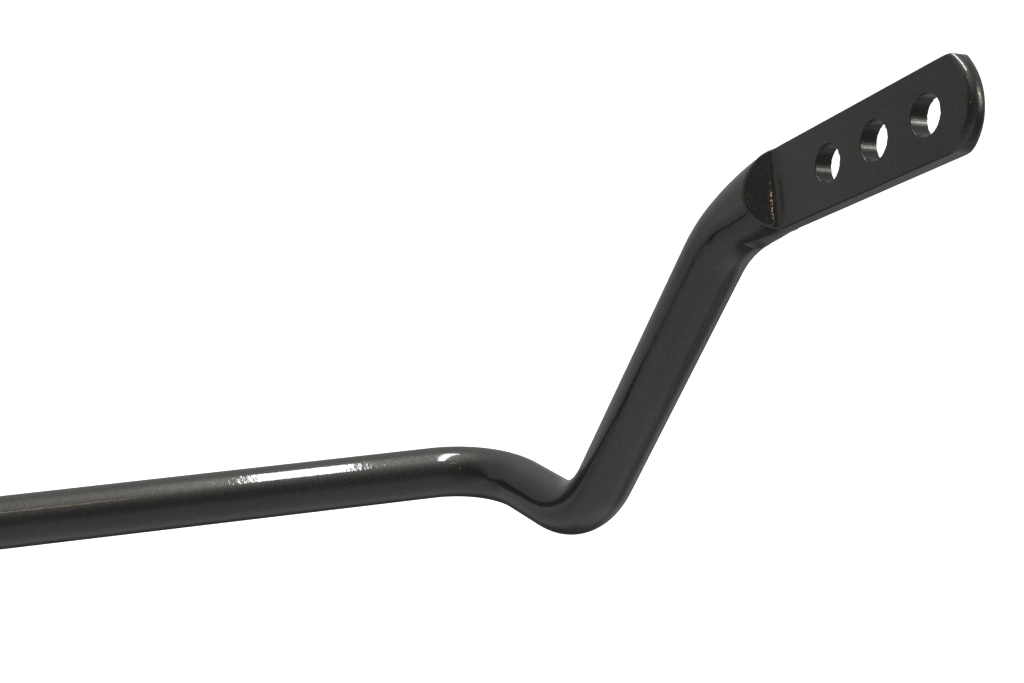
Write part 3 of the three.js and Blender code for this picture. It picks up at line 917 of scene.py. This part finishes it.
def metallic_coating():
    """Dark gunmetal flake under a glossy clear coat, with a faint ripple."""
    clear_layer = {"Coat_Weight": 1.0, "Coat_Roughness": 0.045, "Coat_IOR": 1.5}
    finish = Finish("gunmetal_powder_coat", Metallic=0.75, **clear_layer)
    flake = finish.node(
        "ShaderNodeTexVoronoi", {"Vector": finish.place, "Scale": 2600.0}, feature="F1", distance="EUCLIDEAN"
    )
    cloud = finish.node("ShaderNodeTexNoise", {"Vector": finish.place, "Scale": 30.0, "Detail": 5.0})
    pick = finish.node("ShaderNodeSeparateColor", {"Color": flake.outputs["Color"]})
    ramp = finish.node("ShaderNodeValToRGB", {"Fac": pick.outputs["Red"]})
    stops = ramp.color_ramp.elements
    stops[0].position, stops[0].color = 0.0, (0.020, 0.0198, 0.0185, 1)
    stops[1].position, stops[1].color = 1.0, (0.052, 0.050, 0.046, 1)
    middle = stops.new(0.7)
    middle.color = (0.029, 0.0287, 0.0268, 1)
    tone = finish.node(
        "ShaderNodeMapRange",
        {"Value": cloud.outputs["Fac"], "From Min": 0.3, "From Max": 0.7, "To Min": 0.86, "To Max": 1.14},
    )
    colour = finish.node("ShaderNodeVectorMath", {0: ramp.outputs["Color"]}, operation="SCALE")
    finish.tree.links.new(tone.outputs[0], colour.inputs["Scale"])
    finish.feed("Base Color", colour.outputs[0])
    rough = finish.node(
        "ShaderNodeMapRange",
        {"Value": pick.outputs["Green"], "To Min": 0.34, "To Max": 0.5},
    )
    finish.feed("Roughness", rough.outputs[0])
    peel = finish.node("ShaderNodeTexNoise", {"Vector": finish.place, "Scale": 520.0, "Detail": 2.5})
    bump = finish.node(
        "ShaderNodeBump", {"Height": peel.outputs["Fac"], "Strength": 0.16, "Distance": 0.0002}
    )
    finish.feed("Normal", bump.outputs["Normal"])
    finish.tree.links.new(bump.outputs["Normal"], finish.shader.inputs["Coat Normal"])
    return finish.material


def finishes():
    return {
        "bar_coating": metallic_coating(),
        "bush_polyurethane": grained(
            "black_polyurethane",
            dark=(0.010, 0.010, 0.011),
            light=(0.022, 0.022, 0.024),
            grains=1400.0,
            roughness=0.42,
            spread=0.16,
            bump=0.25,
            height=0.0002,
        ),
        "bracket_zinc": grained(
            "zinc_pressing",
            dark=(0.30, 0.30, 0.29),
            light=(0.46, 0.455, 0.43),
            grains=260.0,
            roughness=0.34,
            spread=0.16,
            bump=0.12,
            height=0.0002,
            Metallic=1.0,
        ),
        "nipple_zinc": grained(
            "yellow_zinc",
            dark=(0.52, 0.40, 0.20),
            light=(0.66, 0.55, 0.33),
            grains=500.0,
            roughness=0.26,
            spread=0.12,
            bump=0.08,
            height=0.0001,
            Metallic=1.0,
        ),
        "washer_zinc": grained(
            "zinc_washer",
            dark=(0.40, 0.41, 0.42),
            light=(0.55, 0.55, 0.55),
            grains=420.0,
            roughness=0.3,
            spread=0.14,
            bump=0.1,
            height=0.0001,
            Metallic=1.0,
        ),
        "bolt_zinc": grained(
            "zinc_bolt",
            dark=(0.38, 0.39, 0.40),
            light=(0.54, 0.54, 0.54),
            grains=700.0,
            roughness=0.28,
            spread=0.14,
            bump=0.1,
            height=0.0001,
            Metallic=1.0,
        ),
        "collar_aluminium": grained(
            "blasted_aluminium",
            dark=(0.42, 0.425, 0.43),
            light=(0.56, 0.565, 0.57),
            grains=2200.0,
            roughness=0.42,
            spread=0.12,
            bump=0.3,
            height=0.0001,
            Metallic=1.0,
        ),
        "screw_black": grained(
            "black_oxide",
            dark=(0.012, 0.012, 0.013),
            light=(0.035, 0.034, 0.033),
            grains=1500.0,
            roughness=0.36,
            spread=0.14,
            bump=0.12,
            height=0.0001,
            Metallic=0.9,
        ),
    }


FINISHES = finishes()


def dress(piece, body, slot, nodes):
    piece.data.materials.clear()
    piece.data.materials.append(FINISHES[slot])
    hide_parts(*nodes)
    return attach(piece, body)


# ---------------------------------------------------------------- the studio

# Degrees above level on the camera's side, going over the top to 180 behind the bar; then brightness.
ROOM_MIDDLE = (
    (-179, 0.30),
    (-168, 0.30),
    (-150, 0.08),
    (-125, 0.05),
    (-108, 0.14),
    (-98, 0.42),
    (-84, 0.66),
    (-44, 0.57),
    (-8, 0.50),
    (6, 0.30),
    (16, 0.20),
    (34, 0.20),
    (46, 0.36),
    (58, 0.58),
    (76, 0.95),
    (100, 0.95),
    (122, 0.60),
    (144, 0.50),
    (166, 0.30),
    (179, 0.30),
)
ROOM_LEFT = (
    (-179, 0.36),
    (-170, 0.50),
    (-154, 0.40),
    (-138, 0.30),
    (-100, 0.50),
    (-57, 0.62),
    (-30, 0.45),
    (0, 0.26),
    (25, 0.14),
    (46, 0.10),
    (70, 0.20),
    (100, 0.50),
    (135, 0.45),
    (165, 0.32),
    (179, 0.34),
)
ROOM_RIGHT = (
    (-179, 0.30),
    (-150, 0.12),
    (-135, 0.25),
    (-118, 0.40),
    (-90, 0.22),
    (-75, 0.36),
    (-50, 0.20),
    (-7, 0.16),
    (13, 0.18),
    (60, 0.36),
    (90, 0.40),
    (150, 0.35),
    (179, 0.30),
)


def studio_world():
    """White to the camera; around the bar, a dim room whose brightness changes with its height."""
    world = bpy.data.worlds.new("studio")
    world.use_nodes = True
    nodes, link = world.node_tree.nodes, world.node_tree.links.new
    bpy.context.scene.world = world
    background = nodes["Background"]
    place = nodes.new("ShaderNodeTexCoord")
    split = nodes.new("ShaderNodeSeparateXYZ")
    link(place.outputs["Generated"], split.inputs[0])
    toward = nodes.new("ShaderNodeMath")
    toward.operation = "MULTIPLY"
    toward.inputs[1].default_value = -1
    link(split.outputs["Y"], toward.inputs[0])
    height = nodes.new("ShaderNodeMath")
    height.operation = "ARCTAN2"
    link(split.outputs["Z"], height.inputs[0])
    link(toward.outputs[0], height.inputs[1])
    turn = nodes.new("ShaderNodeMapRange")
    turn.inputs["From Min"].default_value = -math.pi
    turn.inputs["From Max"].default_value = math.pi
    link(height.outputs[0], turn.inputs["Value"])

    def profile(levels):
        room = nodes.new("ShaderNodeValToRGB")
        link(turn.outputs[0], room.inputs["Fac"])
        stops = room.color_ramp.elements
        for degrees, level in levels:
            stop = stops.new((degrees + 180) / 360)
            cool = 1.03 if -120 < degrees < 0 else 0.96
            stop.color = (level, level * 0.995, level * cool, 1)
        stops.remove(stops[0])
        stops.remove(stops[-1])
        return room.outputs["Color"]

    def blend_sideways(first, second, start, end):
        share = nodes.new("ShaderNodeMapRange")
        share.interpolation_type = "SMOOTHSTEP"
        share.inputs["From Min"].default_value = start
        share.inputs["From Max"].default_value = end
        link(split.outputs["X"], share.inputs["Value"])
        mix = nodes.new("ShaderNodeMix")
        mix.data_type = "RGBA"
        link(share.outputs[0], mix.inputs["Factor"])
        link(first, mix.inputs["A"])
        link(second, mix.inputs["B"])
        return mix.outputs["Result"]

    room = blend_sideways(profile(ROOM_LEFT), profile(ROOM_MIDDLE), -0.55, -0.2)
    room = blend_sideways(room, profile(ROOM_RIGHT), 0.22, 0.5)
    looking = nodes.new("ShaderNodeLightPath")
    seen = nodes.new("ShaderNodeMix")
    seen.data_type = "RGBA"
    link(looking.outputs["Is Camera Ray"], seen.inputs["Factor"])
    link(room, seen.inputs["A"])
    seen.inputs["B"].default_value = (1.0, 1.0, 1.0, 1)
    link(seen.outputs["Result"], background.inputs["Color"])


def soft_box(name, at, size, radiance, colour=(1, 1, 1), aim=(0.42, -0.1, 0.08)):
    """A rectangular lamp of a given brightness, facing the bar's end unless aimed elsewhere."""
    light = bpy.data.lights.new(name, "AREA")
    light.shape = "RECTANGLE"
    light.size, light.size_y = size
    light.energy = radiance * math.pi * size[0] * size[1]
    light.color = colour
    lamp = bpy.data.objects.new(name, light)
    bpy.context.scene.collection.objects.link(lamp)
    lamp.location = at
    lamp.rotation_euler = (Vector(aim) - Vector(at)).to_track_quat("-Z", "Y").to_euler()
    return lamp


def lights():
    soft_box("ceiling_tube", (0.42, 0.05, 1.55), (0.17, 1.1), 24.0, aim=(0.42, 0.05, 0))
    tip, ramp = (0.55, -0.18, 0.17), (0.53, -0.15, 0.165)
    soft_box("side_glow", (1.80, -0.90, 0.84), (0.75, 0.95), 0.5, (0.95, 1.0, 0.88), aim=tip)
    soft_box("side_window", (1.72, -0.86, 0.80), (0.36, 0.52), 2.6, (0.97, 1.0, 0.84), aim=tip)
    soft_box("side_lamp", (1.60, -0.79, 0.73), (0.07, 0.20), 9.0, (1.0, 0.95, 0.95), aim=tip)
    soft_box("warm_strip", (0.07, -0.63, 1.26), (0.22, 0.03), 9.0, (1.0, 0.68, 0.42), aim=(0.29, 0, 0.02))
    soft_box("warm_lamp_1", (-0.395, -0.985, 1.02), (0.010, 0.03), 45.0, (1.0, 0.7, 0.42), aim=ramp)
    soft_box("warm_lamp_2", (-0.38, -1.06, 0.86), (0.02, 0.03), 45.0, (1.0, 0.7, 0.42), aim=ramp)


def floor():
    mesh = bpy.data.meshes.new("floor")
    reach, depth = 30.0, -0.55
    corners = [(-reach, -reach, depth), (reach, -reach, depth), (reach, reach, depth), (-reach, reach, depth)]
    mesh.from_pydata(corners, [], [(0, 1, 2, 3)])
    ground = bpy.data.objects.new("floor", mesh)
    bpy.context.scene.collection.objects.link(ground)
    material = bpy.data.materials.new("pale_floor")
    material.use_nodes = True
    nodes, link = material.node_tree.nodes, material.node_tree.links.new
    paint = nodes["Principled BSDF"]
    paint.inputs["Base Color"].default_value = (0.85, 0.85, 0.85, 1)
    paint.inputs["Roughness"].default_value = 0.9
    paint.inputs["Emission Color"].default_value = (1, 1, 1, 1)
    paint.inputs["Emission Strength"].default_value = 1.0
    clear = nodes.new("ShaderNodeBsdfTransparent")
    side = nodes.new("ShaderNodeNewGeometry")
    choose = nodes.new("ShaderNodeMixShader")
    link(side.outputs["Backfacing"], choose.inputs[0])
    link(paint.outputs[0], choose.inputs[1])
    link(clear.outputs[0], choose.inputs[2])
    link(choose.outputs[0], nodes["Material Output"].inputs["Surface"])
    mesh.materials.append(material)
    ground.visible_glossy = False
    ground.visible_diffuse = False


def camera():
    data = bpy.data.cameras.new("camera")
    data.sensor_width = 36.0
    data.lens = 45.7
    data.clip_start = 0.01
    viewer = bpy.data.objects.new("camera", data)
    bpy.context.scene.collection.objects.link(viewer)
    corner = Vector((HALF_SPAN, 0, AXIS_HEIGHT)) * MM
    viewer.location = corner + Vector((-0.0953, -0.5299, 0.2123))
    viewer.rotation_euler = Euler([math.radians(a) for a in (73.89, 2.27, -12.04)])
    bpy.context.scene.camera = viewer


camera()
studio_world()
lights()
floor()
bpy.context.scene.view_settings.view_transform = "Standard"

bar_piece = sway_bar()
bar_piece.data.materials.append(FINISHES["bar_coating"])
for hand, side in (("left", -1), ("right", 1)):
    bush(hand, side)
    bracket(hand, side)
    grease_nipple(hand, side)
    for place, y in (("front", -FOOT_HOLE_OFFSET), ("rear", FOOT_HOLE_OFFSET)):
        washer(hand, place, side * MOUNT_X, y)
        bolt(hand, place, side * MOUNT_X, y)
    collar_half(hand, side, "upper")
    collar_half(hand, side, "lower")
    for place in ("front", "rear"):
        collar_screw(hand, side, place)
